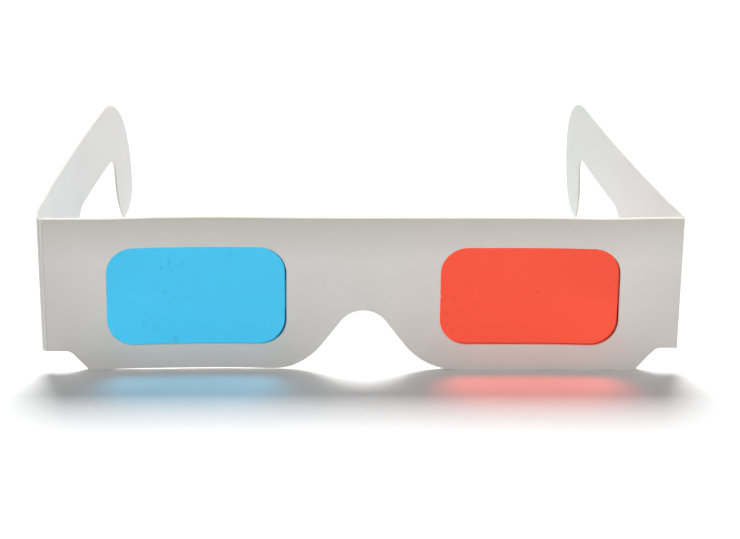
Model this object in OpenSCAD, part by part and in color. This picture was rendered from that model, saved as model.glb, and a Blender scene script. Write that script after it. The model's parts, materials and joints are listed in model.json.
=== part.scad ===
// Card viewing glasses with a cyan film and a red film.
// The front panel faces -Y and stands on the ground plane, the temples run back along +Y.

/* [Front panel] */
// Width over both folds
panel_width = 140; // [120:1:160]
// Height of the panel
panel_height = 36; // [32:0.5:42]
// Height of the panel's lower edge at its ends
corner_height = 4.9; // [3:0.1:7]
// Length of the raised lower edge at each end
corner_length = 4.5; // [3:0.1:8]
// Length of the slope from the raised edge down to the foot
corner_slope = 4.7; // [2:0.1:8]
// Radius of the corner between the raised edge and the slope
corner_radius = 2; // [0.5:0.1:3]

/* [Nose notch] */
// Height of the notch
nose_height = 14.3; // [10:0.1:17]
// Radius of the notch's crown
nose_crown_radius = 6.3; // [3:0.1:6.5]
// Radius of the flare where the notch meets the foot
nose_flare_radius = 15; // [10:0.5:16]
// Distance from the middle to the centre of each flare
nose_flare_x = 21.2; // [20:0.1:25]

/* [Windows] */
// Width of card between the windows
bridge_width = 34; // [30:0.5:42]
// Width of card between each window and the outside of its fold
window_end_margin = 14; // [12:0.5:20]
// Height of card above the windows
window_top_margin = 7; // [5:0.1:10]
// Height of card below the windows
window_foot_margin = 6.2; // [5:0.1:10]
// Radius of the windows' corners
window_radius = 6; // [2:0.1:8]

/* [Sheets] */
// Thickness of the card
card_thickness = 0.45; // [0.3:0.05:0.7]
// Thickness of the coloured films
film_thickness = 0.15; // [0.1:0.01:0.25]
// Thickness of the adhesive under each film
glue_thickness = 0.05; // [0.02:0.01:0.1]
// Width of film covered by card round each window
film_margin = 3; // [1.5:0.1:3.5]

/* [Temples] */
// Length of each temple from its fold to the back of the ear hook
temple_length = 101.5; // [90:0.5:115]
// Length of the deep part next to the panel
temple_root_length = 43.2; // [30:0.1:55]
// Height of the narrow part where it meets the ear hook
temple_neck_height = 13.5; // [10:0.1:18]
// Fall of the upper edge, in degrees
temple_fall = 1.9; // [0:0.1:3]

/* [Ear hooks] */
// Width of the ear hook
hook_width = 15.5; // [12:0.1:20]
// Radius of the upper back corner
hook_crown_radius = 23.5; // [8:0.5:24]
// Height of the hook's foremost point
hook_front_z = 14.5; // [8:0.1:15]
// Distance from the hook's foremost point back to its tip
hook_tip_inset = 5.5; // [3:0.1:7]
// Length of the flat at the tip
hook_tip_length = 1; // [0.5:0.1:3]
// Radius of the corner between neck and hook
hook_throat_radius = 5; // [1:0.1:5]

/* [Folds] */
// Angle by which the left temple leans inward from straight back
left_toe_in = 7.9; // [0:0.1:15]
// Angle by which the right temple leans inward from straight back
right_toe_in = 9.2; // [0:0.1:15]
// Radius inside each fold
fold_inside_radius = 0.1; // [0.05:0.01:0.2]

/* [Hidden] */
$fn = 96;

// How far a cutting shape runs past the face that it cuts
past = 1;
// Drop of the flare centres, so that each flare crosses the foot at an angle
flare_drop = 0.05;
// How far a straight edge lies inside the arc that it joins, so that it crosses the arc
flank_lap = 0.02;
// Slit between the end of the panel's sheets and the bent web of the fold
fold_slit = 0.02;

// Sheets from front to back
bond_thickness = film_thickness + glue_thickness;
front_leaf_y = 0;
bond_y = front_leaf_y + card_thickness;
film_y = bond_y + glue_thickness;
rear_leaf_y = bond_y + bond_thickness;
panel_thickness = rear_leaf_y + card_thickness;

// Fold lines, on the panel's rear face
fold_outside_radius = fold_inside_radius + card_thickness;
fold_x = panel_width / 2 - fold_outside_radius;
fold_y = panel_thickness;
sheet_end_x = fold_x - fold_slit;

// Windows, between the margins of card that frame them
window_width = (panel_width - bridge_width) / 2 - window_end_margin;
window_height = panel_height - window_top_margin - window_foot_margin;
window_centre_x = (bridge_width + window_width) / 2;
window_centre_z = window_foot_margin + window_height / 2;

// Round corner between the panel's raised lower edge and its slope
raised_x = sheet_end_x - corner_length;
foot_x = raised_x - corner_slope;
corner_turn = atan2(corner_height, corner_slope);
corner_drop = corner_radius - flank_lap;
corner_lead = corner_drop * tan(corner_turn / 2);
corner_slope_x = raised_x - corner_lead * cos(corner_turn);
corner_slope_z = corner_height - corner_lead * sin(corner_turn);

// Nose notch: centres of its crown and flares, and the straight flank that joins them
crown_z = nose_height - nose_crown_radius;
flare_z = nose_flare_radius - flare_drop;
flank_reach = sqrt(pow(nose_flare_x, 2) + pow(flare_z - crown_z, 2));
flank_crown_radius = nose_crown_radius - flank_lap;
flank_flare_radius = nose_flare_radius - flank_lap;
flank_turn = acos((flank_crown_radius + flank_flare_radius) / flank_reach);
flank_angle = atan2(flare_z - crown_z, nose_flare_x) + flank_turn;
flank_way = [cos(flank_angle), sin(flank_angle)];
flank_top = [0, crown_z] + flank_crown_radius * flank_way;
flank_foot = [nose_flare_x, flare_z] - flank_flare_radius * flank_way;

// Temple outline: lengths run from the fold line, heights from the ground
hook_front_s = temple_length - hook_width;
tip_front_s = hook_front_s + hook_tip_inset;
tip_back_s = tip_front_s + hook_tip_length;
heel_radius = temple_length - tip_back_s;
hook_front_radius = (pow(hook_tip_inset, 2) + pow(hook_front_z, 2)) / (2 * hook_tip_inset);
// The crown stops above the heel, however large its radius
crown_radius = min(hook_crown_radius, upper_edge_z(temple_length) - heel_radius);
hook_crown_s = temple_length - crown_radius;
crown_start_s = hook_crown_s + crown_radius * sin(temple_fall);
hook_crown_z = upper_edge_z(crown_start_s) - crown_radius * cos(temple_fall);
under_edge_z = upper_edge_z(hook_front_s) - temple_neck_height;
root_radius = (under_edge_z - corner_height) / 2;
// The throat stops above the hook's foremost point, however large its radius
throat_radius = min(hook_throat_radius, under_edge_z - hook_front_z - flank_lap);

// Depth of the whole object, and the shift that puts its middle on the origin
left_depth = fold_y + temple_length * cos(left_toe_in) + fold_outside_radius * sin(left_toe_in);
right_depth = fold_y + temple_length * cos(right_toe_in) + fold_outside_radius * sin(right_toe_in);
depth = max(left_depth, right_depth);
front_y = -depth / 2;

// Height of a temple's upper edge at a distance from the fold line
function upper_edge_z(s) = panel_height - s * tan(temple_fall);

// A flat sheet parallel to the panel, its front face at depth y
module sheet(y, thickness) {
    translate([0, front_y + y + thickness, 0])
        rotate([90, 0, 0])
            linear_extrude(height = thickness)
                children();
}

// A rectangle with round corners, about the origin
module round_rectangle(size, radius) {
    square([size[0] - 2 * radius, size[1]], center = true);
    square([size[0], size[1] - 2 * radius], center = true);
    for (side_x = [-1, 1], side_z = [-1, 1])
        translate([side_x * (size[0] / 2 - radius), side_z * (size[1] / 2 - radius)])
            circle(r = radius);
}

// The bell-shaped notch for the nose
module nose_notch() {
    translate([0, crown_z])
        circle(r = nose_crown_radius);
    difference() {
        polygon([
            [-flank_top[0], flank_top[1]],
            flank_top,
            flank_foot,
            [nose_flare_x, flare_z],
            [nose_flare_x, -past],
            [-nose_flare_x, -past],
            [-nose_flare_x, flare_z],
            [-flank_foot[0], flank_foot[1]],
        ]);
        for (side = [-1, 1])
            translate([side * nose_flare_x, flare_z])
                circle(r = nose_flare_radius);
    }
}

// The panel's outline without its windows
module panel_outline() {
    difference() {
        polygon([
            [-sheet_end_x, panel_height],
            [-sheet_end_x, corner_height],
            [-raised_x - corner_lead, corner_height],
            [-corner_slope_x, corner_slope_z],
            [-foot_x, 0],
            [foot_x, 0],
            [corner_slope_x, corner_slope_z],
            [raised_x + corner_lead, corner_height],
            [sheet_end_x, corner_height],
            [sheet_end_x, panel_height],
        ]);
        nose_notch();
        for (side = [-1, 1])
            translate([side * (raised_x + corner_lead), corner_height - corner_drop])
                circle(r = corner_radius);
    }
}

// One window, on the left (-1) or the right (1)
module window_outline(side) {
    translate([side * window_centre_x, window_centre_z])
        round_rectangle([window_width, window_height], window_radius);
}

// One film, on the left (-1) or the right (1), kept inside the panel
module film_outline(side) {
    film_size = [window_width + 2 * film_margin, window_height + 2 * film_margin];
    intersection() {
        translate([side * window_centre_x, window_centre_z])
            square(film_size, center = true);
        panel_outline();
    }
}

// The panel's outline with both windows cut out
module leaf_outline() {
    difference() {
        panel_outline();
        for (side = [-1, 1])
            window_outline(side);
    }
}

// The ring of adhesive between one film and the front leaf
module film_glue_outline(side) {
    difference() {
        film_outline(side);
        window_outline(side);
    }
}

// The space under a temple's neck, in front of its ear hook
module ear_gap() {
    root_s = temple_root_length;
    root_z = corner_height + root_radius;
    throat_s = hook_front_s - throat_radius;
    throat_z = under_edge_z - throat_radius;
    difference() {
        polygon([
            [root_s - root_radius, -past],
            [root_s - root_radius, corner_height],
            [root_s, root_z],
            [root_s + root_radius, under_edge_z],
            [throat_s, under_edge_z],
            [hook_front_s, throat_z],
            [hook_front_s, hook_front_z],
            [tip_front_s, 0],
            [tip_front_s, -past],
        ]);
        // Round end of the root
        translate([root_s - root_radius, root_z])
            circle(r = root_radius);
        // Round front of the ear hook
        translate([hook_front_s + hook_front_radius, hook_front_z])
            circle(r = hook_front_radius);
    }
    // Round corner behind the root
    translate([root_s + root_radius, root_z])
        circle(r = root_radius);
    // Round corner at the throat
    translate([throat_s, throat_z])
        circle(r = throat_radius);
}

// What is cut off the upper back corner of a temple
module crown_cut() {
    difference() {
        polygon([
            [crown_start_s, upper_edge_z(crown_start_s)],
            [crown_start_s, panel_height + past],
            [temple_length + past, panel_height + past],
            [temple_length + past, hook_crown_z],
            [temple_length, hook_crown_z],
        ]);
        translate([hook_crown_s, hook_crown_z])
            circle(r = crown_radius);
    }
}

// What is cut off the lower back corner of a temple
module heel_cut() {
    difference() {
        polygon([
            [temple_length, heel_radius],
            [temple_length + past, heel_radius],
            [temple_length + past, -past],
            [tip_back_s, -past],
            [tip_back_s, 0],
        ]);
        translate([tip_back_s, heel_radius])
            circle(r = heel_radius);
    }
}

// A temple laid flat: length from the fold line to the right, height upward
module temple_outline() {
    difference() {
        polygon([
            [0, corner_height],
            [0, panel_height],
            [temple_length, upper_edge_z(temple_length)],
            [temple_length, 0],
            [temple_root_length, 0],
            [temple_root_length, corner_height],
        ]);
        crown_cut();
        heel_cut();
        ear_gap();
    }
}

// A temple standing at the left fold, leaning inward by an angle
module temple(toe_in) {
    translate([-fold_x, front_y + fold_y, 0])
        rotate([0, 0, 90 - toe_in])
            translate([0, fold_outside_radius, 0])
                rotate([90, 0, 0])
                    linear_extrude(height = card_thickness)
                        temple_outline();
}

// The bent web of card at the left fold
module fold_web(toe_in) {
    translate([-fold_x, front_y + fold_y, 0])
        rotate([0, 0, 180 - toe_in])
            rotate_extrude(angle = 90 + toe_in)
                translate([fold_inside_radius, corner_height])
                    square([card_thickness, panel_height - corner_height]);
}

module front_leaf() {
    color("whitesmoke")
        sheet(front_leaf_y, card_thickness)
            leaf_outline();
}

module rear_leaf() {
    color("white")
        sheet(rear_leaf_y, card_thickness)
            leaf_outline();
}

module leaf_glue() {
    color("ivory")
        sheet(bond_y, bond_thickness)
            difference() {
                panel_outline();
                for (side = [-1, 1])
                    film_outline(side);
            }
}

module cyan_film() {
    color([0.28, 0.76, 0.93, 0.6])
        sheet(film_y, film_thickness)
            film_outline(-1);
}

module red_film() {
    color([0.97, 0.35, 0.27, 0.6])
        sheet(film_y, film_thickness)
            film_outline(1);
}

module cyan_film_glue() {
    color("linen")
        sheet(bond_y, glue_thickness)
            film_glue_outline(-1);
}

module red_film_glue() {
    color("linen")
        sheet(bond_y, glue_thickness)
            film_glue_outline(1);
}

module left_fold() {
    color("snow")
        fold_web(left_toe_in);
}

module right_fold() {
    color("snow")
        mirror([1, 0, 0])
            fold_web(right_toe_in);
}

module left_temple() {
    color("white")
        temple(left_toe_in);
}

module right_temple() {
    color("white")
        mirror([1, 0, 0])
            temple(right_toe_in);
}

front_leaf();
rear_leaf();
leaf_glue();
cyan_film();
red_film();
cyan_film_glue();
red_film_glue();
left_fold();
right_fold();
left_temple();
right_temple();
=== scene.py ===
"""Card viewing glasses with a cyan film and a red film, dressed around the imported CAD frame.

The file is laid out as an add-on: each operator makes one piece or one group of like pieces.
Lengths are metres. X runs from the cyan film to the red film, Y back along the temples, Z up.
"""
import json
import math

import bmesh
import bpy
from mathutils import Matrix, Vector


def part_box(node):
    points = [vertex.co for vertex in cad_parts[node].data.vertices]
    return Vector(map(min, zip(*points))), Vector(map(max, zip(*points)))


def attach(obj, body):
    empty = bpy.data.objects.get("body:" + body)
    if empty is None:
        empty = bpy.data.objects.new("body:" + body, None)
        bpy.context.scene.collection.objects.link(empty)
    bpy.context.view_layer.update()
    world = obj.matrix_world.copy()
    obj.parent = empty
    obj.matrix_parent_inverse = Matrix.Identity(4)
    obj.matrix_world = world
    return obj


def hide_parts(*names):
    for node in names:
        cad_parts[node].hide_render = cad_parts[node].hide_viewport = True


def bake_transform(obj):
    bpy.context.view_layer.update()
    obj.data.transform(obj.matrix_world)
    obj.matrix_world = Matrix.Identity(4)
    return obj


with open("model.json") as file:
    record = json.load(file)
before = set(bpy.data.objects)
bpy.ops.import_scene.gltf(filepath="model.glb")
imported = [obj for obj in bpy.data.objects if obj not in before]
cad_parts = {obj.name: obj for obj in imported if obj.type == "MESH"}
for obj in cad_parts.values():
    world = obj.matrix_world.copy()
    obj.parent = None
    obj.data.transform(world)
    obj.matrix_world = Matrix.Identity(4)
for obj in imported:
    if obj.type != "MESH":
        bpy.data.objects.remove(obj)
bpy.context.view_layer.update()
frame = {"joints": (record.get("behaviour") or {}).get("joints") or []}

bl_info = {
    "name": "Card viewing glasses",
    "version": (1, 0, 0),
    "blender": (4, 5, 0),
    "location": "3D View > Sidebar > Glasses",
    "description": "Dresses the packed viewing glasses with card, films, folds and a small studio",
    "category": "Object",
}

SIDES = ((-1, "left"), (1, "right"))
FILMS = ((-1, "cyan"), (1, "red"))
QUARTER = math.radians(90)

# Modelling
SPECK = 1e-5  # side of the plane that is merged to an outline's first vertex
WELD = 2e-6  # vertices closer than this are one
ARC_STEP = math.radians(5)  # a drawn arc turns by about this much at each step
SHARP = math.radians(55)  # edges sharper than this are rounded
SMOOTH = math.radians(50)  # faces that meet flatter than this are shaded as one
LEVEL = math.radians(1)  # faces that meet flatter than this become one
FACING = 0.4  # share of a face's normal that tells a sheet's face from its cut edge
RIM_SEGMENTS = 4
EDGE_SEGMENTS = 2
RULE_X, RULE_Z = 0.002, 0.003  # spacing of the lines along which a card can bend
FILM_RULE = 0.001  # the same on a film
BEAD_RULE = (0.00001, -0.00005, -0.00018, -0.0003, -0.00045)  # extra lines along the scored bead
FOLD_STEPS = 24  # strips round a fold
TIGHTEST_FOLD = 0.0001  # smallest radius inside a fold
BEND_STEPS = 40  # lengths that a temple's curve is added up from
RIPPLES = ((410, 170), (-90, 330))  # waves of a film: turn for each metre along X and Z

# How the panel's card has settled: where each change starts and ends, along X or in height
HELD_ENDS = (0.062, 0.069)  # the folds hold the ends straight
SPREAD_ENDS = (0.064, 0.069)  # the ends stand out with the folds
BEAD_RISE = (-0.00001, 0.00005)  # the scored bead, outwards from the front card's left end
BEAD_FALL = (0.0003, 0.0011)
LEFT_BOW = (-0.031, 0.014)  # middle and width of each bow
RIGHT_BOW = (0.052, 0.010)
LEFT_ARCH = (-0.0367, 0.0208)  # middle and half length of each arch of the foot
RIGHT_ARCH = (0.048, 0.0085)
ARCH_TOP = 0.006  # height at which an arch has died out
REAR_ARCH = 0.9  # how much more the back of the foot is lifted than its front
LEFT_DROOP = (0.042, 0.058)
RIGHT_DROOP = (0.044, 0.052)  # the slighter droop below the red film's end
RIGHT_DROOP_FADE = (0.056, 0.064)
RIGHT_DROOP_SHARE = 0.3
DROOP_HEIGHTS = (0.0, 0.005)
CORNER_CUT = (0.056, 0.062)  # the right corner's higher cut
CORNER_HEIGHTS = (0.0, 0.004)
CORNER_FADE = (0.007, 0.02)

# How a temple bends: lengths from its fold, or heights
HALF_TEMPLE = 0.05  # half the length over which its curl and twist are measured
LEAN_HEIGHT = 0.018  # height about which it leans and twists
LEAN_START = (0.0, 0.006)
SPRING = (0.0045, 0.003)  # middle and width of the spring beside the fold
DROP_HEIGHTS = (0.0, 0.008)
SPREAD_FADE = (0.0, 0.06)  # the panel's spread and droop die out along the temple
DROOP_FADE = (0.0, 0.03)

# How the finishes vary, and where light and shade are painted into them
NOISE = (0.3, 0.7)  # most values of a noise lie between these
UPPER_EDGE = (0.026, 0.036)  # heights over which painted shade darkens the board towards its upper edge
# colour that the painted shade along the upper edge is mixed towards
PAINTED_SHADE_COLOUR = (0.12, 0.11, 0.0, 1)
SHADED_ENDS = (0.058**2, 0.07**2)  # distances from the middle, squared, over which painted shade darkens the panel's ends
# heights at which that painted shade is gone and at which it is full
SHADED_END_HEIGHTS = (0.034, 0.022)
BEHIND_PANEL = -0.045  # depth at which the painted light on a temple is fullest

# Stage
FLOOR_SIDE = 8
SENSOR_WIDTH = 36  # millimetres
CLIP = (0.05, 50)
AHEAD, BEHIND = 0.0, math.pi  # bearings from the glasses

FRONT_LOW, FRONT_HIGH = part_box("front_leaf")
REAR_LOW, REAR_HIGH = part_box("rear_leaf")
FILM_LOW, FILM_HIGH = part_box("cyan_film")
GLUE_LOW, GLUE_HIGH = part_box("leaf_glue")
FILM_GLUE_LOW, FILM_GLUE_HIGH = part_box("cyan_film_glue")
FOLD_LOW, FOLD_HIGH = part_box("left_fold")
CARD_THICKNESS = REAR_HIGH.y - REAR_LOW.y
HINGES = {joint["child"]: Vector(joint["pos_m"]) for joint in frame["joints"]}
PANEL_PIECES = ["front_card", "rear_card", "leaf_adhesive"]
PANEL_PIECES += [f"{tone}_film_{part}" for _, tone in FILMS for part in ("sheet", "adhesive")]
REAR_PIECES = ["rear_card"]
REAR_PIECES += [f"{name}_{part}" for _, name in SIDES for part in ("fold_web", "temple_card")]


# Properties


def length(label, text, size):
    """A size that a user may change."""
    return bpy.props.FloatProperty(
        name=label, description=text, default=size, unit="LENGTH", subtype="DISTANCE", precision=5
    )


def turn(label, text, degrees):
    """An angle that a user may change."""
    angle = math.radians(degrees)
    return bpy.props.FloatProperty(
        name=label, description=text, default=angle, unit="ROTATION", subtype="ANGLE"
    )


def share(label, text, value):
    """A plain number that a user may change."""
    return bpy.props.FloatProperty(name=label, description=text, default=value, precision=4)


def power(label, text, watts):
    """A light's power that a user may change."""
    return bpy.props.FloatProperty(name=label, description=text, default=watts, unit="POWER")


def colour(label, text, *tone):
    """A colour that a user may change, as scene-linear light."""
    return bpy.props.FloatVectorProperty(
        name=label, description=text, default=tone, size=3, min=0, max=1, subtype="COLOR"
    )


class PanelSizes(bpy.types.PropertyGroup):
    """Outline of the front panel and how its card has settled."""

    corner_height: length("Corner height", "Height of the lower edge at the panel's ends", 0.0049)
    corner_length: length("Corner length", "Length of the raised lower edge", 0.0045)
    corner_slope: length("Corner slope", "Length of the slope down to the foot", 0.0047)
    corner_radius: length("Corner radius", "Radius between raised edge and slope", 0.002)
    notch_height: length("Notch height", "Height of the nose notch", 0.0143)
    notch_crown: length("Notch crown", "Radius at the top of the nose notch", 0.00608)
    notch_flare: length("Notch flare", "Radius where the notch meets the foot", 0.015)
    notch_flare_x: length("Flare place", "Distance of each flare's centre from the middle", 0.0212)
    die_shift: length("Die shift", "How far the die sat to the right of the folds", 0.0006)
    front_setback: length("Front setback", "Gap from the left fold to the front card", 0.0006)
    front_overlap: length("Front overlap", "Front card's length past the right fold", 0.00055)
    left_bead: length("Left bead", "Rise of the scored bead along the left fold", 0.00062)
    left_rake: share("Left rake", "Outward lean of the left fold", 0.012)
    left_spread: length("Left spread", "How far the left fold stands out", 0.00014)
    right_rake: share("Right rake", "Outward lean of the right fold", 0.0055)
    right_spread: length("Right spread", "How far the right fold stands out", 0.0002)
    left_corner_trim: length("Left corner trim", "Extra length of the left raised edge", 0.0005)
    left_bow: length("Left bow", "How far the card round the cyan film bows back", 0.00055)
    right_bow: length("Right bow", "How far the card beside the red film bows forward", 0.0004)
    left_lift: length("Left lift", "Rise of the foot's arch below the cyan film", 0.00046)
    right_lift: length("Right lift", "Rise of the foot's arch below the red film", 0.00026)
    end_droop: length("End droop", "How far the left end hangs lower", 0.0003)
    right_corner_rise: length("Right corner rise", "Extra rise of the right raised edge", 0.00038)
    edge_radius: length("Edge radius", "Softness of the die-cut edges", 0.00005)


class WindowSizes(bpy.types.PropertyGroup):
    """The two windows and the films behind them."""

    width: length("Width", "Width of each window", 0.0393)
    height: length("Height", "Height of each window", 0.023)
    centre_x: length("Place", "Distance of each window's centre from the middle", 0.0365)
    centre_z: length("Level", "Height of each window's centre", 0.0176)
    radius: length("Corner radius", "Radius of the windows' corners", 0.006)
    rim: length("Rim", "Width of the rolled rim on the front card", 0.00018)
    nick: length("Nick", "Size of the tab at the joint of the cutting rule", 0.00016)
    cyan_shift: length("Cyan shift", "How far the rear cyan window sits to the left", 0.00042)
    cyan_drop: length("Cyan drop", "How far the rear cyan window sits lower", 0.00012)
    red_shift: length("Red shift", "How far the rear red window sits to the left", 0.0003)
    red_drop: length("Red drop", "How far the rear red window sits lower", -0.0001)
    film_cover: length("Film cover", "Width of film held between the cards", 0.003)
    film_ripple: length("Film ripple", "Depth of the films' slight ripples", 0.00002)


class TempleSizes(bpy.types.PropertyGroup):
    """Outline of both temples, and how each is bent."""

    reach: length("Length", "Length from the fold to the back of the hook", 0.1015)
    root: length("Root", "Length of the deep part beside the panel", 0.0432)
    neck: length("Neck", "Height of the narrow part at the hook", 0.0135)
    neck_sag: length("Neck sag", "How far the neck's lower edge sinks towards the hook", 0.0007)
    fall: turn("Fall", "Fall of the upper edge", 1.9)
    hook_width: length("Hook width", "Width of the ear hook", 0.0155)
    hook_crown: length("Hook crown", "Radius of the upper back corner", 0.0235)
    hook_front: length("Hook front", "Height of the hook's foremost point", 0.0141)
    tip_inset: length("Tip inset", "Distance from the foremost point to the tip", 0.0055)
    tip_length: length("Tip length", "Length of the flat at the tip", 0.003)
    throat: length("Throat", "Radius between neck and hook", 0.0048)
    lap: length("Lap", "Length of the first strip, which is made with the fold", 0.001)
    left_toe: turn("Left toe-in", "Inward lean of the left temple from straight back", 7.76)
    left_curl: turn("Left curl", "Turn of the left temple over half its length", 2.74)
    left_lean: turn("Left lean", "Tilt of the left temple from upright", -1.49)
    left_twist: turn("Left twist", "Twist of the left temple along its length", -0.69)
    left_drop: share("Left drop", "Fall of the left temple for its length", 0.005)
    left_spring: length("Left spring", "Outward spring beside the left fold", 0.00023)
    right_toe: turn("Right toe-in", "Inward lean of the right temple from straight back", 8.8)
    right_curl: turn("Right curl", "Turn of the right temple over half its length", -2.25)
    right_lean: turn("Right lean", "Tilt of the right temple from upright", 0.38)
    right_twist: turn("Right twist", "Twist of the right temple along its length", 3.06)
    right_drop: share("Right drop", "Fall of the right temple for its length", -0.0018)
    right_spring: length("Right spring", "Outward spring beside the right fold", 0.0002)


class FinishColours(bpy.types.PropertyGroup):
    """Colours of the card, the films and the adhesive."""

    front_card: colour("Front card", "Coated face of the front card", 0.845, 0.822, 0.782)
    # The temples are one card in two tones: the left's darker is painted shade, the right's
    # lighter and less red is painted light
    left_temple: colour("Left temple", "Face of the left temple", 0.73, 0.727, 0.713)
    right_temple: colour("Right temple", "Face of the right temple", 0.772, 0.789, 0.769)
    # One raw edge in two tones: the temples' and folds' darker is painted shade, the panel's
    # lighter is a painted highlight
    cut_edge: colour("Cut edge", "Die-cut edge of the temples and folds", 0.57, 0.555, 0.495)
    panel_edge: colour("Panel edge", "Die-cut edge of the panel", 0.66, 0.645, 0.58)
    cyan: colour("Cyan", "Light that passes one face of the cyan film", 0.229, 0.664, 0.832)
    red: colour("Red", "Light that passes one face of the red film", 0.849, 0.279, 0.21)
    adhesive: colour("Adhesive", "Dried adhesive between the sheets", 0.78, 0.72, 0.55)


class StageSettings(bpy.types.PropertyGroup):
    """Camera, floor and light."""

    look_x: length("Look at X", "Point that the camera looks at", 0.00195)
    look_z: length("Look at Z", "Height of that point", 0.02407)
    distance: length("Distance", "Distance from that point to the camera", 0.61672)
    pitch: turn("Pitch", "How far the camera looks down", 22.511)
    yaw: turn("Yaw", "How far the camera stands to the left", 1.795)
    roll: turn("Roll", "Tilt of the picture", -0.6866)
    lens: bpy.props.FloatProperty(
        name="Lens", description="Focal length for a 36 mm sensor", default=137.594, unit="CAMERA"
    )
    key_bearing: turn("Key bearing", "Place of the softbox, round from straight ahead", 181)
    fill_bearing: turn("Fill bearing", "Place of the fill board, round to the right", 22)
    sky: share("Sky", "Strength of the even light from all round", 0.2)
    floor: colour("Floor", "Colour of the floor", 0.9, 0.9, 0.9)


def light_settings(group, label, elevation, distance, width, height, watts):
    """What a user may change on one of the stage's lights."""
    return {
        group + "_elevation": turn(label + " elevation", "Angle above the floor", elevation),
        group + "_distance": length(label + " distance", "Distance from the glasses", distance),
        group + "_width": length(label + " width", "Width of its lit face", width),
        group + "_height": length(label + " height", "Height of its lit face", height),
        group + "_power": power(label + " power", "Power of its light", watts),
    }


# Each light's group and label, elevation in degrees, distance, width, height and watts
for light in (
    ("key", "Softbox", 62.3, 0.75, 0.4, 0.335, 7.0),
    ("edge", "Edge light", 89, 0.75, 0.3, 0.12, 6.2),
    ("back", "Backdrop", 25, 1.5, 1.56, 0.4, 3.6),
    ("fill", "Fill board", 14, 0.6, 0.36, 0.24, 0.65),
    ("top", "Overhead board", 65, 0.8, 0.5, 0.5, 0.4),
):
    StageSettings.__annotations__.update(light_settings(*light))


class GlassesSettings(bpy.types.PropertyGroup):
    """All that a user may change."""

    panel: bpy.props.PointerProperty(type=PanelSizes)
    window: bpy.props.PointerProperty(type=WindowSizes)
    temple: bpy.props.PointerProperty(type=TempleSizes)
    colours: bpy.props.PointerProperty(type=FinishColours)
    stage: bpy.props.PointerProperty(type=StageSettings)


def settings():
    return bpy.context.scene.card_glasses


# Shader expressions and finishes


class Value:
    """A shader value in a Python expression. Each operator adds a Math node."""

    def __init__(self, finish, socket):
        self.finish = finish
        self.socket = socket

    def __add__(self, other):
        return self.finish.maths("ADD", self, other)

    def __mul__(self, other):
        return self.finish.maths("MULTIPLY", self, other)

    def above(self, level):
        return self.finish.maths("GREATER_THAN", self, level)

    __radd__ = __add__
    __rmul__ = __mul__


def solid(tone, scale=1.0):
    """A colour property as four numbers, made lighter or darker."""
    return (*(min(1.0, value * scale) for value in tone), 1)


class Finish:
    """A node material in the making."""

    def __init__(self, name):
        self.material = bpy.data.materials.new(name)
        self.material.use_nodes = True
        self.tree = self.material.node_tree
        self.tree.nodes.clear()

    def node(self, kind, setup=None, sockets=None, out=0):
        """Adds a node, makes its settings, then sets or links its sockets."""
        made = self.tree.nodes.new(kind)
        for name, value in (setup or {}).items():
            setattr(made, name, value)
        for name, value in (sockets or {}).items():
            if isinstance(value, Value):
                self.tree.links.new(value.socket, made.inputs[name])
            else:
                made.inputs[name].default_value = value
        return Value(self, made.outputs[out]) if made.outputs else None

    def maths(self, operation, first, second):
        return self.node("ShaderNodeMath", {"operation": operation}, {0: first, 1: second})

    def place(self, stretch=(1, 1, 1)):
        """Object coordinates, stretched."""
        sockets = {"Vector": self.node("ShaderNodeTexCoord", out="Object"), "Scale": stretch}
        return self.node("ShaderNodeMapping", {"vector_type": "POINT"}, sockets)

    def axis(self, letter):
        """One of the three Object coordinates."""
        return self.node("ShaderNodeSeparateXYZ", None, {"Vector": self.place()}, out=letter)

    def noise(self, scale, detail=2, roughness=0.5, stretch=(1, 1, 1)):
        sockets = {"Vector": self.place(stretch)}
        sockets |= {"Scale": scale, "Detail": detail, "Roughness": roughness}
        return self.node("ShaderNodeTexNoise", None, sockets)

    def range(self, value, span, result=(0, 1)):
        """Takes a span of values to another span, and holds what lies beyond at its ends."""
        sockets = {"Value": value, "From Min": span[0], "From Max": span[1]}
        sockets |= {"To Min": result[0], "To Max": result[1]}
        return self.node("ShaderNodeMapRange", {"clamp": True}, sockets)

    def mix(self, factor, first, second):
        """A colour between two colours. The Mix node's colour sockets go by number."""
        sockets = {0: factor, 6: first, 7: second}
        return self.node("ShaderNodeMix", {"data_type": "RGBA"}, sockets, out=2)

    def mottle(self, value, span, tone, darkest, lightest):
        """A tone that grows lighter over a span of values."""
        return self.mix(self.range(value, span), solid(tone, darkest), solid(tone, lightest))

    def bump(self, height, depth, strength):
        sockets = {"Height": height, "Distance": depth, "Strength": strength}
        return self.node("ShaderNodeBump", None, sockets)

    def body(self, sockets):
        return self.node("ShaderNodeBsdfPrincipled", None, sockets)

    def show(self, shader):
        self.node("ShaderNodeOutputMaterial", None, {"Surface": shader})
        return self.material


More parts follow.
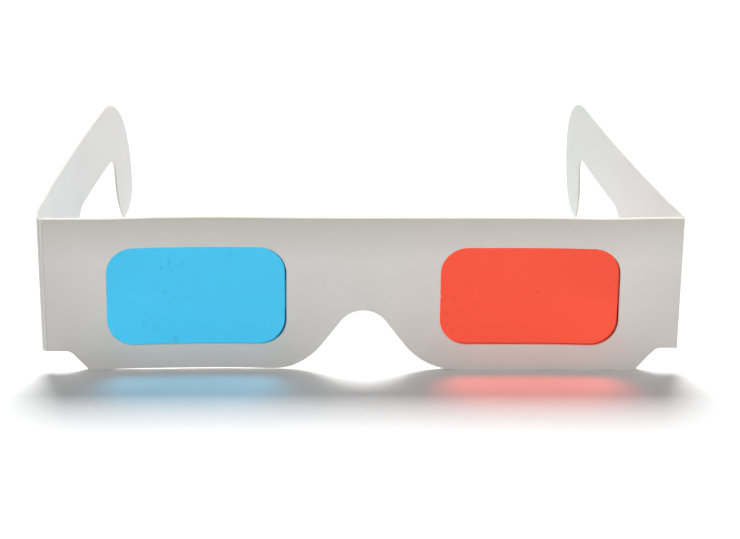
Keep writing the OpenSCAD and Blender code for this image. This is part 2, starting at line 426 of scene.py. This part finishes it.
def card_finish(name, tone, top_shade=0.0, ends=0.0, painted_light=0.0, painted_light_from=0.0):
    """White coated board: faint clouds, fine fibres under the coating and light handling marks.

    The further arguments paint light and shade: how much darker the board is painted along its
    upper edge and at its ends, both painted shade, and painted light that makes it paler towards
    the panel from a given depth.
    """
    card = Finish(name)
    x, y, z = (card.axis(letter) for letter in "XYZ")
    cloud = card.noise(scale=140, detail=3, roughness=0.55)
    fibre = card.noise(scale=900, detail=4, roughness=0.6)
    tooth = card.noise(scale=3800, detail=3, roughness=0.6)
    touch = card.noise(scale=45, detail=5, roughness=0.62, stretch=(1.0, 1.0, 0.6))
    marks = card.range(touch, (0.58, 0.72))
    base = card.mottle(cloud * 0.6 + fibre * 0.4, (0.36, 0.64), tone, 0.985, 1.012)
    base = card.mix(marks * 0.3, base, solid(tone, 0.95))
    # Painted shade: the board is darkened towards its upper edge
    base = card.mix(card.range(z, UPPER_EDGE, (0, top_shade)), base, PAINTED_SHADE_COLOUR)
    # Painted shade: the board is darkened at its ends, below its upper edge
    held = card.range(x * x, SHADED_ENDS) * card.range(z, SHADED_END_HEIGHTS)
    base = card.mix(held * ends, base, solid(tone, 0.6))
    # Painted light: a temple is made paler towards the panel
    pale = card.range(y, (painted_light_from, BEHIND_PANEL), (0, painted_light))
    sockets = {
        "Base Color": card.mix(pale, base, solid(tone, 1.22)),
        "Roughness": card.range(cloud * 0.5 + tooth * 0.5, NOISE, (0.40, 0.58)) + marks * 0.08,
        "Normal": card.bump(fibre * 0.7 + tooth * 0.3, depth=0.000012, strength=0.5),
        "Specular IOR Level": 0.35,
    }
    return card.show(card.body(sockets))


def cut_edge_finish(name, tone):
    """Raw die-cut board: cream, with the fibres of its plies."""
    edge = Finish(name)
    plies = edge.noise(scale=2600, detail=4, roughness=0.65, stretch=(0.4, 2.0, 0.4))
    burr = edge.noise(scale=1500, detail=3, roughness=0.6)
    sockets = {
        "Base Color": edge.mottle(plies, (0.35, 0.65), tone, 0.92, 1.06),
        "Roughness": edge.range(burr, NOISE, (0.78, 0.95)),
        "Normal": edge.bump(plies * 0.6 + burr * 0.4, depth=0.00003, strength=0.6),
        "Specular IOR Level": 0.2,
    }
    return edge.show(edge.body(sockets))


def film_finish(name, tint, haze, sheen):
    """Dyed clear film: coloured light passes under a gloss skin with streaks, specks and smudges.

    Haze is how milky the film is seen straight on, sheen how much more so at a slant.
    """
    film = Finish(name)
    streak = film.noise(scale=60, detail=3, stretch=(1.0, 1.0, 4.0))
    blots = film.range(film.noise(scale=650, detail=3, roughness=0.6), (0.60, 0.70))
    smudge = blots * film.range(film.noise(scale=75), (0.48, 0.62))
    spots = {"Vector": film.place(), "Scale": 330}
    cells = film.node("ShaderNodeTexVoronoi", {"feature": "F1"}, spots)
    specks = film.range(cells, (0.14, 0.07)) * film.noise(scale=210, detail=1).above(0.63)
    skin = film.body(
        {
            "Base Color": film.mottle(streak, NOISE, tint, 0.85, 1.0),
            "Roughness": film.range(streak, NOISE, (0.06, 0.12)),
            "Normal": film.bump(streak, depth=0.00004, strength=0.25),
            "IOR": 1.5,
        }
    )
    clear = film.node("ShaderNodeBsdfTransparent", None, {"Color": solid(tint)})
    slant = film.node("ShaderNodeLayerWeight", None, {"Blend": 0.5}, out="Facing")
    milky = film.range(streak, NOISE, (haze * 0.8, haze * 1.2))
    factor = milky + specks * 0.2 + smudge * 0.16 + slant * sheen
    return film.show(film.node("ShaderNodeMixShader", None, {0: factor, 1: clear, 2: skin}))


def adhesive_finish(name, tone):
    """Dried paste: uneven, slightly glossy and the colour of old paper."""
    paste = Finish(name)
    lumps = paste.noise(scale=420, detail=4, roughness=0.6)
    sockets = {
        "Base Color": paste.mottle(lumps, NOISE, tone, 0.85, 1.08),
        "Roughness": paste.range(lumps, NOISE, (0.35, 0.6)),
        "Normal": paste.bump(lumps, depth=0.00002, strength=0.6),
    }
    return paste.show(paste.body(sockets))


def floor_finish(name, tone):
    """Matt white table top with a trace of grain."""
    top = Finish(name)
    grain = top.noise(scale=260, detail=4, roughness=0.6)
    sockets = {
        "Base Color": top.mottle(grain, NOISE, tone, 0.99, 1.01),
        "Roughness": top.range(grain, NOISE, (0.55, 0.65)),
        "Specular IOR Level": 0.2,
    }
    return top.show(top.body(sockets))


def finish(name):
    """The material of that name, made when it is first asked for."""
    made = bpy.data.materials.get(name)
    if made:
        return made
    tones = settings().colours
    makers = {
        # The front card gets painted shade along its upper edge and at its ends
        "front_card_face": lambda: card_finish(name, tones.front_card, top_shade=0.25, ends=0.28),
        "fold_face": lambda: card_finish(name, tones.front_card),
        # Both temples carry painted light, paler towards the panel, on top of their painted tones
        "left_temple_face": lambda: card_finish(name, tones.left_temple, painted_light=0.85),
        "right_temple_face": lambda: card_finish(
            name, tones.right_temple, painted_light=1.0, painted_light_from=0.04
        ),
        # The temples' cut edge is painted darker as shade, the panel's lighter as a highlight
        "card_cut_edge": lambda: cut_edge_finish(name, tones.cut_edge),
        "panel_cut_edge": lambda: cut_edge_finish(name, tones.panel_edge),
        "cyan_film_dye": lambda: film_finish(name, tones.cyan, haze=0.035, sheen=0.46),
        "red_film_dye": lambda: film_finish(name, tones.red, haze=0.02, sheen=0.05),
        "dried_adhesive": lambda: adhesive_finish(name, tones.adhesive),
        "table_top": lambda: floor_finish(name, settings().stage.floor),
    }
    return makers[name]()


# Modelling with operators


def select_everything():
    bpy.ops.mesh.select_all(action="SELECT")


def face_outwards():
    """Turns all faces outwards."""
    select_everything()
    bpy.ops.mesh.normals_make_consistent(inside=False)


def add_point(place):
    """One vertex, selected."""
    bpy.ops.mesh.primitive_plane_add(size=SPECK, location=place)
    bpy.ops.mesh.merge(type="CENTER")


def extrude(way):
    """Draws what is selected out along a vector."""
    bpy.ops.mesh.extrude_region_move(TRANSFORM_OT_translate={"value": way})


def begin_piece(name):
    """An empty mesh object at the origin, in edit mode."""
    bpy.ops.object.select_all(action="DESELECT")
    bpy.ops.mesh.primitive_plane_add(size=SPECK, location=(0, 0, 0))
    piece = bpy.context.active_object
    piece.name = name
    piece.data.name = name
    bpy.ops.object.mode_set(mode="EDIT")
    bpy.ops.mesh.select_mode(type="VERT")
    select_everything()
    bpy.ops.mesh.delete(type="VERT")
    return piece


class Pen:
    """Draws an outline of lines and arcs, upright in the XZ plane at one depth."""

    def __init__(self, x, z, depth):
        self.x = x
        self.z = z
        self.depth = depth
        add_point((x, depth, z))

    def line(self, x, z):
        extrude((x - self.x, 0, z - self.z))
        self.x = x
        self.z = z

    def arc(self, x, z, angle):
        """Turns about a centre, against the clock as seen from the front."""
        steps = max(2, round(abs(angle) / ARC_STEP))
        bpy.ops.mesh.spin(steps=steps, angle=angle, center=(x, self.depth, z), axis=(0, 1, 0))
        arm = Vector((self.x - x, self.z - z))
        self.x = x + arm.x * math.cos(angle) - arm.y * math.sin(angle)
        self.z = z + arm.x * math.sin(angle) + arm.y * math.cos(angle)


def make_sheet(thickness):
    """Fills the drawn outlines, with the inner ones as holes, and thickens them to the back."""
    select_everything()
    bpy.ops.mesh.remove_doubles(threshold=WELD)
    bpy.ops.mesh.select_mode(type="EDGE")
    select_everything()
    bpy.ops.mesh.fill(use_beauty=True)
    select_everything()
    bpy.ops.mesh.dissolve_limited(angle_limit=LEVEL, use_dissolve_boundaries=False)
    select_everything()
    extrude((0, thickness, 0))
    face_outwards()


def round_edges(piece, chosen, radius, segments=EDGE_SEGMENTS):
    """Rounds the sharp edges whose ends pass a test."""
    bpy.ops.mesh.select_mode(type="EDGE")
    bpy.ops.mesh.select_all(action="DESELECT")
    bpy.ops.mesh.edges_select_sharp(sharpness=SHARP)
    mesh = bmesh.from_edit_mesh(piece.data)
    for edge in mesh.edges:
        if edge.select and not all(chosen(corner.co) for corner in edge.verts):
            edge.select_set(False)
    mesh.select_flush_mode()
    bmesh.update_edit_mesh(piece.data)
    bpy.ops.mesh.bevel(offset=radius, segments=segments, affect="EDGES", clamp_overlap=True)


def even_places(low, high, step):
    """Places between two ends, evenly spaced by about a step."""
    count = max(1, round((high - low) / step))
    return [low + (high - low) * index / count for index in range(1, count)]


def rule_lines(normal, places):
    """Cuts the piece along lines, so that it can bend."""
    for place in places:
        select_everything()
        bpy.ops.mesh.bisect(plane_co=Vector(normal) * place, plane_no=normal, threshold=WELD)


def rule_sheet(low, high, step_x=RULE_X, step_z=RULE_Z):
    """Cuts a sheet along even lines, first upright and then level."""
    rule_lines((1, 0, 0), even_places(low.x, high.x, step_x))
    rule_lines((0, 0, 1), even_places(low.z, high.z, step_z))


def give_finishes(piece, face, edge=None):
    """One finish for the faces of a sheet, another for its cut edges."""
    piece.data.materials.clear()
    piece.data.materials.append(finish(face))
    if edge:
        piece.data.materials.append(finish(edge))
        for side in piece.data.polygons:
            side.material_index = int(abs(side.normal.y) < FACING)


def move_points(piece, move):
    """Puts each vertex where a function says."""
    for point in piece.data.vertices:
        point.co = move(point.co)
    piece.data.update()


def smooth_piece(piece, flat_faces_lead=True):
    """Smooth shading that keeps the large flat faces flat."""
    bpy.ops.object.select_all(action="DESELECT")
    piece.select_set(True)
    bpy.context.view_layer.objects.active = piece
    bpy.ops.object.shade_smooth_by_angle(angle=SMOOTH)
    if flat_faces_lead:
        bpy.ops.object.modifier_add(type="WEIGHTED_NORMAL")
        piece.modifiers[-1].keep_sharp = True
        bpy.ops.object.modifier_apply(modifier=piece.modifiers[-1].name)


def bell(x, centre, width):
    return math.exp(-(((x - centre) / width) ** 2))


def hump(x, centre, reach, flatness=6):
    """A low arch with a flat top."""
    return max(0.0, 1 - ((x - centre) / reach) ** flatness)


def ease(value, start, end):
    """0 before start, 1 after end and a smooth step between."""
    part = min(1.0, max(0.0, (value - start) / (end - start)))
    return part * part * (3 - 2 * part)


def settle_panel(point):
    """Where a point of the flat panel lies once its card has settled."""
    panel = settings().panel
    x, y, z = point
    held = 1 - ease(abs(x), *HELD_ENDS)
    outwards = REAR_LOW.x + panel.front_setback - x
    bead = panel.left_bead * ease(outwards, *BEAD_RISE) * (1 - ease(outwards, *BEAD_FALL))
    rise = z - FRONT_HIGH.z / 2
    if x < 0:
        spread = -panel.left_spread - panel.left_rake * rise
    else:
        spread = panel.right_spread + panel.right_rake * rise
    bow = panel.left_bow * bell(x, *LEFT_BOW) - panel.right_bow * bell(x, *RIGHT_BOW)
    lift = panel.left_lift * hump(x, *LEFT_ARCH) + panel.right_lift * hump(x, *RIGHT_ARCH)
    lift *= 1 + REAR_ARCH * (y - FRONT_LOW.y) / (REAR_HIGH.y - FRONT_LOW.y)
    right_droop = ease(x, *RIGHT_DROOP) * (1 - ease(x, *RIGHT_DROOP_FADE))
    droop = panel.end_droop * (ease(-x, *LEFT_DROOP) + RIGHT_DROOP_SHARE * right_droop)
    corner = panel.right_corner_rise * ease(x, *CORNER_CUT)
    corner *= ease(z, *CORNER_HEIGHTS) * (1 - ease(z, *CORNER_FADE))
    z += lift * max(0.0, 1 - z / ARCH_TOP) - droop * ease(z, *DROOP_HEIGHTS) + corner
    return Vector((x + spread * ease(abs(x), *SPREAD_ENDS), y + bow * held - bead, z))


def draw_panel(depth, left_x, right_x):
    """The panel's outline, with its ends where they are asked for."""
    panel = settings().panel
    height = FRONT_HIGH.z
    raised_x = REAR_HIGH.x - panel.corner_length
    foot_x = raised_x - panel.corner_slope
    slope = math.atan2(panel.corner_height, panel.corner_slope)
    lead = panel.corner_radius * math.tan(slope / 2)
    left_slope = math.atan2(panel.corner_height, panel.corner_slope - panel.left_corner_trim)
    left_lead = panel.corner_radius * math.tan(left_slope / 2)
    left_raised_x = panel.left_corner_trim - raised_x - left_lead
    corner_z = panel.corner_height - panel.corner_radius
    crown_z = panel.notch_height - panel.notch_crown
    flare_x, flare_z = panel.notch_flare_x, panel.notch_flare
    reach = math.hypot(flare_x, flare_z - crown_z)
    flank = math.atan2(flare_z - crown_z, flare_x)
    flank += math.acos((panel.notch_crown + panel.notch_flare) / reach)
    way = Vector((math.cos(flank), math.sin(flank)))
    crown_join = Vector((0, crown_z)) + panel.notch_crown * way
    flare_join = Vector((flare_x, flare_z)) - panel.notch_flare * way
    flare_sweep = QUARTER - flank

    shift = panel.die_shift
    pen = Pen(left_x, height, depth)
    pen.line(left_x, panel.corner_height)
    pen.line(shift + left_raised_x, panel.corner_height)
    pen.arc(shift + left_raised_x, corner_z, -left_slope)
    pen.line(shift - foot_x, 0)
    pen.line(shift - flare_x, 0)
    pen.arc(shift - flare_x, flare_z, flare_sweep)
    pen.line(shift - crown_join.x, crown_join.y)
    pen.arc(shift, crown_z, 2 * flank - math.pi)
    pen.line(shift + flare_join.x, flare_join.y)
    pen.arc(shift + flare_x, flare_z, flare_sweep)
    pen.line(shift + foot_x, 0)
    pen.line(
        shift + raised_x - lead * math.cos(slope), panel.corner_height - lead * math.sin(slope)
    )
    pen.arc(shift + raised_x + lead, corner_z, -slope)
    pen.line(right_x, panel.corner_height)
    pen.line(right_x, height)
    pen.line(left_x, height)


def draw_window(side, depth, shift_x=0.0, shift_z=0.0, nick=0.0):
    """A window with round corners, and the small tab that the joint in the cutting rule leaves."""
    window = settings().window
    x = side * window.centre_x + settings().panel.die_shift + shift_x
    z = window.centre_z + shift_z
    left, right = x - window.width / 2, x + window.width / 2
    foot, top = z - window.height / 2, z + window.height / 2
    radius = window.radius
    pen = Pen(left, z + 2 * nick, depth)
    if nick:
        pen.line(left + nick, z)
        pen.line(left, z - 2 * nick)
    pen.line(left, foot + radius)
    pen.arc(left + radius, foot + radius, QUARTER)
    pen.line(right - radius, foot)
    pen.arc(right - radius, foot + radius, QUARTER)
    pen.line(right, top - radius)
    pen.arc(right - radius, top - radius, QUARTER)
    pen.line(left + radius, top)
    pen.arc(left + radius, top - radius, QUARTER)
    pen.line(left, z + 2 * nick)


def draw_film(side, depth):
    """A film's plain rectangle."""
    window = settings().window
    half_x = window.width / 2 + window.film_cover
    half_z = window.height / 2 + window.film_cover
    x = side * window.centre_x
    left, right = x - half_x, x + half_x
    foot, top = window.centre_z - half_z, window.centre_z + half_z
    pen = Pen(left, foot, depth)
    pen.line(right, foot)
    pen.line(right, top)
    pen.line(left, top)
    pen.line(left, foot)


def finish_panel_sheet(piece, face, edge):
    """Ruled, finished and settled as the panel is, and riding on it."""
    rule_sheet(FRONT_LOW, FRONT_HIGH)
    bpy.ops.object.mode_set(mode="OBJECT")
    give_finishes(piece, face, edge)
    move_points(piece, settle_panel)
    smooth_piece(piece)
    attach(piece, "panel")


# Folds and temples


def crease_line(side):
    """A point on the line that a fold bends about, behind the rear card."""
    hinge = HINGES["left_arm" if side < 0 else "right_arm"]
    inside = FOLD_HIGH.x - FOLD_LOW.x - CARD_THICKNESS
    return Vector((hinge.x, REAR_HIGH.y + max(TIGHTEST_FOLD, inside), 0))


def bends(name, *parts):
    """Settings of the left or the right temple."""
    return [getattr(settings().temple, f"{name}_{part}") for part in parts]


def temple_root(side, name):
    """A temple's toe-in at the fold, and the ways outwards and along from there."""
    toe, curl = bends(name, "toe", "curl")
    toe -= curl
    outward = Vector((side * math.cos(toe), math.sin(toe), 0))
    along = Vector((-side * math.sin(toe), math.cos(toe), 0))
    return toe, outward, along


def temple_sway(name, s, z):
    """How far a temple leans inwards at a length from the fold and a height."""
    lean, twist, spring = bends(name, "lean", "twist", "spring")
    slope = math.tan(lean) + math.tan(twist) * s / (2 * HALF_TEMPLE)
    return (z - LEAN_HEIGHT) * slope * ease(s, *LEAN_START) - spring * bell(s, *SPRING)


def fold_bend(side, name):
    """A function that takes a point of the plain web to its place.

    The web moves as its outer face moves with the panel, and its strip sways as the temple does.
    """
    panel = settings().panel
    temple = settings().temple
    crease = crease_line(side)
    outside = crease.y - REAR_LOW.y
    _, outward, along = temple_root(side, name)
    rise = FRONT_HIGH.z - panel.corner_height

    def bent(point):
        arm = Vector((point.x - crease.x, point.y - crease.y, 0))
        s = max(0.0, arm.dot(along))
        face = crease + (outward if s > WELD else arm.normalized()) * outside
        face.z = point.z
        moved = settle_panel(face) - face
        moved.x -= side * temple_sway(name, s, point.z) * s / temple.lap
        moved.z -= s * math.tan(temple.fall) * (point.z - panel.corner_height) / rise
        return point + moved

    return bent


def temple_bend(side, name):
    """A function that takes a point of the flat temple to its place."""
    toe, curl, drop = bends(name, "toe", "curl", "drop")
    crease = crease_line(side)
    outside = crease.y - REAR_LOW.y

    def heading(s):
        return toe + curl * (s - HALF_TEMPLE) / HALF_TEMPLE

    def bent(point):
        s, inward, z = point
        along = Vector((0, 0))
        for index in range(BEND_STEPS):
            angle = heading(s * (index + 0.5) / BEND_STEPS)
            along += Vector((math.sin(angle), math.cos(angle))) * s / BEND_STEPS
        angle = heading(s)
        out = outside - inward
        z -= drop * s * ease(z, *DROP_HEIGHTS)
        inner = along.x - out * math.cos(angle) + temple_sway(name, s, z)
        back = along.y + out * math.sin(angle)
        settled = settle_panel((crease.x, crease.y, z))
        spread = (settled.x - crease.x) * (1 - ease(s, *SPREAD_FADE))
        z += (settled.z - z) * (1 - ease(s, *DROOP_FADE))
        return Vector((crease.x - side * inner + spread, crease.y + back, z))

    return bent


def draw_temple():
    """A temple laid out flat: X is the length from the fold, Z the height."""
    panel = settings().panel
    temple = settings().temple
    height = FRONT_HIGH.z
    fall = math.tan(temple.fall)
    hook_s = temple.reach - temple.hook_width
    tip_s = hook_s + temple.tip_inset
    heel_s = tip_s + temple.tip_length
    heel = temple.reach - heel_s
    front_radius = (temple.tip_inset**2 + temple.hook_front**2) / (2 * temple.tip_inset)
    front_sweep = math.asin(temple.hook_front / front_radius)
    crown_s = temple.reach - temple.hook_crown
    crown_start = crown_s + temple.hook_crown * math.sin(temple.fall)
    crown_z = height - crown_start * fall - temple.hook_crown * math.cos(temple.fall)
    under_z = height - hook_s * fall - temple.neck
    root_radius = (under_z - panel.corner_height) / 2
    root_z = panel.corner_height + root_radius

    pen = Pen(temple.lap, panel.corner_height, 0)
    pen.line(temple.root - root_radius, panel.corner_height)
    pen.arc(temple.root - root_radius, root_z, QUARTER)
    pen.arc(temple.root + root_radius, root_z, -QUARTER)
    pen.line(hook_s - temple.throat, under_z - temple.neck_sag)
    pen.arc(hook_s - temple.throat, under_z - temple.neck_sag - temple.throat, -QUARTER)
    pen.line(hook_s, temple.hook_front)
    pen.arc(hook_s + front_radius, temple.hook_front, front_sweep)
    pen.line(heel_s, 0)
    pen.arc(heel_s, heel, QUARTER)
    pen.line(temple.reach, crown_z)
    pen.arc(crown_s, crown_z, QUARTER - temple.fall)
    pen.line(temple.lap, height - temple.lap * fall)
    pen.line(temple.lap, panel.corner_height)


# Stage


def add_floor():
    """A plain table top."""
    bpy.ops.object.select_all(action="DESELECT")
    bpy.ops.mesh.primitive_plane_add(size=FLOOR_SIDE, location=(0, 0, 0))
    floor = bpy.context.active_object
    floor.name = "floor"
    floor.data.materials.append(finish("table_top"))


def light_set(name, members):
    """A collection of the pieces that a light falls on, or that hold it back."""
    made = bpy.data.collections.new(name)
    for member in members:
        made.objects.link(bpy.data.objects[member])
    return made


def add_lights(stage):
    """Soft lights that face the middle of the floor, and an even sky."""
    panel_set = light_set("panel_set", PANEL_PIECES)
    rear_set = light_set("rear_set", REAR_PIECES)
    front = [name for name in PANEL_PIECES if name not in REAR_PIECES]
    rest_set = light_set("rest_set", ["floor"] + front)
    for name, group, bearing, lit, blockers in (
        ("softbox", "key", stage.key_bearing, rest_set, panel_set),
        ("edge_light", "edge", BEHIND, rear_set, None),
        ("backdrop", "back", BEHIND, None, panel_set),
        ("fill_board", "fill", stage.fill_bearing, None, None),
        ("overhead_board", "top", AHEAD, None, None),
    ):
        elevation = getattr(stage, group + "_elevation")
        way = Vector((math.sin(bearing), -math.cos(bearing), math.tan(elevation))).normalized()
        place = way * getattr(stage, group + "_distance")
        bpy.ops.object.light_add(type="AREA", location=place)
        light = bpy.context.active_object
        light.name = name
        light.rotation_euler = place.to_track_quat("Z", "Y").to_euler()
        light.data.shape = "RECTANGLE"
        light.data.size = getattr(stage, group + "_width")
        light.data.size_y = getattr(stage, group + "_height")
        light.data.energy = getattr(stage, group + "_power")
        light.visible_camera = False
        light.light_linking.receiver_collection = lit
        light.light_linking.blocker_collection = blockers
    world = bpy.data.worlds.new("studio_sky")
    world.use_nodes = True
    sky = world.node_tree.nodes["Background"]
    sky.inputs["Color"].default_value = (1, 1, 1, 1)
    sky.inputs["Strength"].default_value = stage.sky
    bpy.context.scene.world = world


def add_camera(stage):
    """The camera at the photograph's view."""
    bpy.ops.object.camera_add()
    camera = bpy.context.active_object
    camera.name = "photo_camera"
    camera.data.lens = stage.lens
    camera.data.sensor_width = SENSOR_WIDTH
    camera.data.clip_start, camera.data.clip_end = CLIP
    right = Vector((math.cos(stage.yaw), -math.sin(stage.yaw), 0))
    level = Vector((math.sin(stage.yaw), math.cos(stage.yaw), 0))
    forward = level * math.cos(stage.pitch) - Vector((0, 0, math.sin(stage.pitch)))
    up = right.cross(forward)
    tilt_right = right * math.cos(stage.roll) - up * math.sin(stage.roll)
    tilt_up = right * math.sin(stage.roll) + up * math.cos(stage.roll)
    turned = Matrix((tilt_right, tilt_up, -forward)).transposed()
    look = Vector((stage.look_x, FRONT_LOW.y, stage.look_z))
    camera.matrix_world = Matrix.Translation(look - forward * stage.distance) @ turned.to_4x4()
    bpy.context.scene.camera = camera


# Operators


class GLASSES_OT_front_card(bpy.types.Operator):
    """Makes the front card: the white face with both windows and the nose notch"""

    bl_idname = "glasses.front_card"
    bl_label = "Front card"

    def execute(self, context):
        panel = settings().panel
        window = settings().window
        piece = begin_piece("front_card")
        left_x = REAR_LOW.x + panel.front_setback
        draw_panel(FRONT_LOW.y, left_x, REAR_HIGH.x + panel.front_overlap)
        for side in (-1, 1):
            draw_window(side, FRONT_LOW.y, nick=window.nick)
        make_sheet(FRONT_HIGH.y - FRONT_LOW.y)

        def on_window(point, margin=window.rim):
            x = point.x - panel.die_shift
            across = abs(abs(x) - window.centre_x) < window.width / 2 + margin
            upward = abs(point.z - window.centre_z) < window.height / 2 + margin
            return across and upward

        def on_window_rim(point):
            return on_window(point, WELD) and point.y < FRONT_LOW.y + WELD

        round_edges(piece, on_window_rim, window.rim, RIM_SEGMENTS)
        round_edges(piece, lambda point: True, panel.edge_radius)
        finish_panel_sheet(piece, "front_card_face", "panel_cut_edge")
        for face in piece.data.polygons:
            if on_window(face.center):
                face.material_index = 0
        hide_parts("front_leaf")
        return {"FINISHED"}


class GLASSES_OT_rear_card(bpy.types.Operator):
    """Makes the rear card, whose windows sit slightly off those of the front card"""

    bl_idname = "glasses.rear_card"
    bl_label = "Rear card"

    def execute(self, context):
        panel = settings().panel
        window = settings().window
        piece = begin_piece("rear_card")
        draw_panel(REAR_LOW.y, REAR_LOW.x, REAR_HIGH.x)
        draw_window(-1, REAR_LOW.y, -window.cyan_shift, -window.cyan_drop)
        draw_window(1, REAR_LOW.y, -window.red_shift, -window.red_drop)
        make_sheet(CARD_THICKNESS)
        round_edges(piece, lambda point: abs(point.x) < REAR_HIGH.x - WELD, panel.edge_radius)
        bead_x = REAR_LOW.x + panel.front_setback
        rule_lines((1, 0, 0), [bead_x + step for step in BEAD_RULE])
        finish_panel_sheet(piece, "fold_face", "panel_cut_edge")
        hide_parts("rear_leaf")
        return {"FINISHED"}


class GLASSES_OT_films(bpy.types.Operator):
    """Makes the cyan film and the red film, each faintly rippled"""

    bl_idname = "glasses.films"
    bl_label = "Films"

    def execute(self, context):
        ripple = settings().window.film_ripple

        def rippled(point):
            waves = (math.sin(point.x * turn_x + point.z * turn_z) for turn_x, turn_z in RIPPLES)
            return settle_panel(point) + Vector((0, ripple * math.prod(waves), 0))

        for side, tone in FILMS:
            piece = begin_piece(tone + "_film_sheet")
            draw_film(side, FILM_LOW.y)
            make_sheet(FILM_HIGH.y - FILM_LOW.y)
            rule_sheet(*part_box(tone + "_film"), FILM_RULE, FILM_RULE)
            bpy.ops.object.mode_set(mode="OBJECT")
            give_finishes(piece, tone + "_film_dye")
            move_points(piece, rippled)
            smooth_piece(piece, False)
            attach(piece, "panel")
            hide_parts(tone + "_film")
        return {"FINISHED"}


class GLASSES_OT_adhesive(bpy.types.Operator):
    """Makes the dried adhesive between the cards, and the ring of it on each film"""

    bl_idname = "glasses.adhesive"
    bl_label = "Adhesive"

    def execute(self, context):
        piece = begin_piece("leaf_adhesive")
        draw_panel(GLUE_LOW.y, REAR_LOW.x + settings().panel.front_setback, REAR_HIGH.x)
        for side in (-1, 1):
            draw_film(side, GLUE_LOW.y)
        make_sheet(GLUE_HIGH.y - GLUE_LOW.y)
        finish_panel_sheet(piece, "dried_adhesive", None)
        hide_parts("leaf_glue")
        for side, tone in FILMS:
            piece = begin_piece(tone + "_film_adhesive")
            draw_film(side, FILM_GLUE_LOW.y)
            draw_window(side, FILM_GLUE_LOW.y)
            make_sheet(FILM_GLUE_HIGH.y - FILM_GLUE_LOW.y)
            finish_panel_sheet(piece, "dried_adhesive", None)
            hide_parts(tone + "_film_glue")
        return {"FINISHED"}


class GLASSES_OT_folds(bpy.types.Operator):
    """Makes the bent web of card at each fold, shaped to the bend of its temple"""

    bl_idname = "glasses.folds"
    bl_label = "Folds"

    def execute(self, context):
        panel = settings().panel
        temple = settings().temple
        for side, name in SIDES:
            toe, outward, along = temple_root(side, name)
            crease = crease_line(side)
            piece = begin_piece(name + "_fold_web")
            add_point((crease.x, REAR_LOW.y, panel.corner_height))
            extrude((0, 0, FRONT_HIGH.z - panel.corner_height))
            select_everything()
            extrude((0, CARD_THICKNESS, 0))
            bpy.ops.mesh.select_mode(type="FACE")
            select_everything()
            sweep = -side * (QUARTER + toe)
            bpy.ops.mesh.spin(steps=FOLD_STEPS, angle=sweep, center=crease, axis=(0, 0, 1))
            extrude(along * temple.lap)
            select_everything()
            bpy.ops.mesh.remove_doubles(threshold=WELD)
            face_outwards()
            rule_lines((0, 0, 1), even_places(panel.corner_height, FRONT_HIGH.z, RULE_Z))
            bpy.ops.object.mode_set(mode="OBJECT")
            for surface in ("fold_face", "card_cut_edge", name + "_temple_face"):
                piece.data.materials.append(finish(surface))
            for face in piece.data.polygons:
                on_temple = (face.center - crease).dot(along) > WELD
                face.material_index = 1 if abs(face.normal.z) > FACING else 2 * on_temple
            move_points(piece, fold_bend(side, name))
            smooth_piece(piece, False)
            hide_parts(name + "_fold")
            middle = crease.y - REAR_HIGH.y + CARD_THICKNESS / 2
            crease + middle * outward
            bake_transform(piece)
        return {"FINISHED"}


class GLASSES_OT_temples(bpy.types.Operator):
    """Makes both temples with their ear hooks, each bent and leaning in its own way"""

    bl_idname = "glasses.temples"
    bl_label = "Temples"

    def execute(self, context):
        panel = settings().panel
        temple = settings().temple
        for side, name in SIDES:
            piece = begin_piece(name + "_temple_card")
            draw_temple()
            make_sheet(CARD_THICKNESS)
            round_edges(piece, lambda point: point.x > temple.lap + WELD, panel.edge_radius)
            rule_sheet(Vector((0, 0, 0)), Vector((temple.reach, 0, FRONT_HIGH.z)))
            bpy.ops.object.mode_set(mode="OBJECT")
            give_finishes(piece, name + "_temple_face", "card_cut_edge")
            move_points(piece, temple_bend(side, name))
            bpy.ops.object.mode_set(mode="EDIT")
            face_outwards()
            bpy.ops.object.mode_set(mode="OBJECT")
            smooth_piece(piece)
            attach(piece, name + "_arm")
            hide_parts(name + "_temple")
        return {"FINISHED"}


class GLASSES_OT_stage(bpy.types.Operator):
    """Makes the pale floor, the soft light and the camera at the photograph's view"""

    bl_idname = "glasses.stage"
    bl_label = "Stage"

    def execute(self, context):
        stage = settings().stage
        add_floor()
        add_lights(stage)
        add_camera(stage)
        context.scene.view_settings.view_transform = "Standard"
        return {"FINISHED"}


class GLASSES_PT_panel(bpy.types.Panel):
    """Lists the operators and the sizes and colours"""

    bl_label = "Card viewing glasses"
    bl_idname = "GLASSES_PT_panel"
    bl_space_type = "VIEW_3D"
    bl_region_type = "UI"
    bl_category = "Glasses"

    def draw(self, context):
        for operator in OPERATORS:
            self.layout.operator(operator.bl_idname)
        for group in ("panel", "window", "temple", "colours", "stage"):
            held = getattr(settings(), group)
            box = self.layout.box()
            box.label(text=group.capitalize())
            for name in held.__annotations__:
                box.prop(held, name)


GROUPS = (PanelSizes, WindowSizes, TempleSizes, FinishColours, StageSettings, GlassesSettings)
OPERATORS = (
    GLASSES_OT_front_card,
    GLASSES_OT_rear_card,
    GLASSES_OT_films,
    GLASSES_OT_adhesive,
    GLASSES_OT_folds,
    GLASSES_OT_temples,
    GLASSES_OT_stage,
)
CLASSES = (*GROUPS, *OPERATORS, GLASSES_PT_panel)


def register():
    for item in CLASSES:
        bpy.utils.register_class(item)
    bpy.types.Scene.card_glasses = bpy.props.PointerProperty(type=GlassesSettings)


def unregister():
    del bpy.types.Scene.card_glasses
    for item in reversed(CLASSES):
        bpy.utils.unregister_class(item)


def main():
    register()
    bpy.ops.glasses.front_card()
    bpy.ops.glasses.rear_card()
    bpy.ops.glasses.films()
    bpy.ops.glasses.adhesive()
    bpy.ops.glasses.folds()
    bpy.ops.glasses.temples()
    bpy.ops.glasses.stage()


if __name__ == "__main__":
    main()
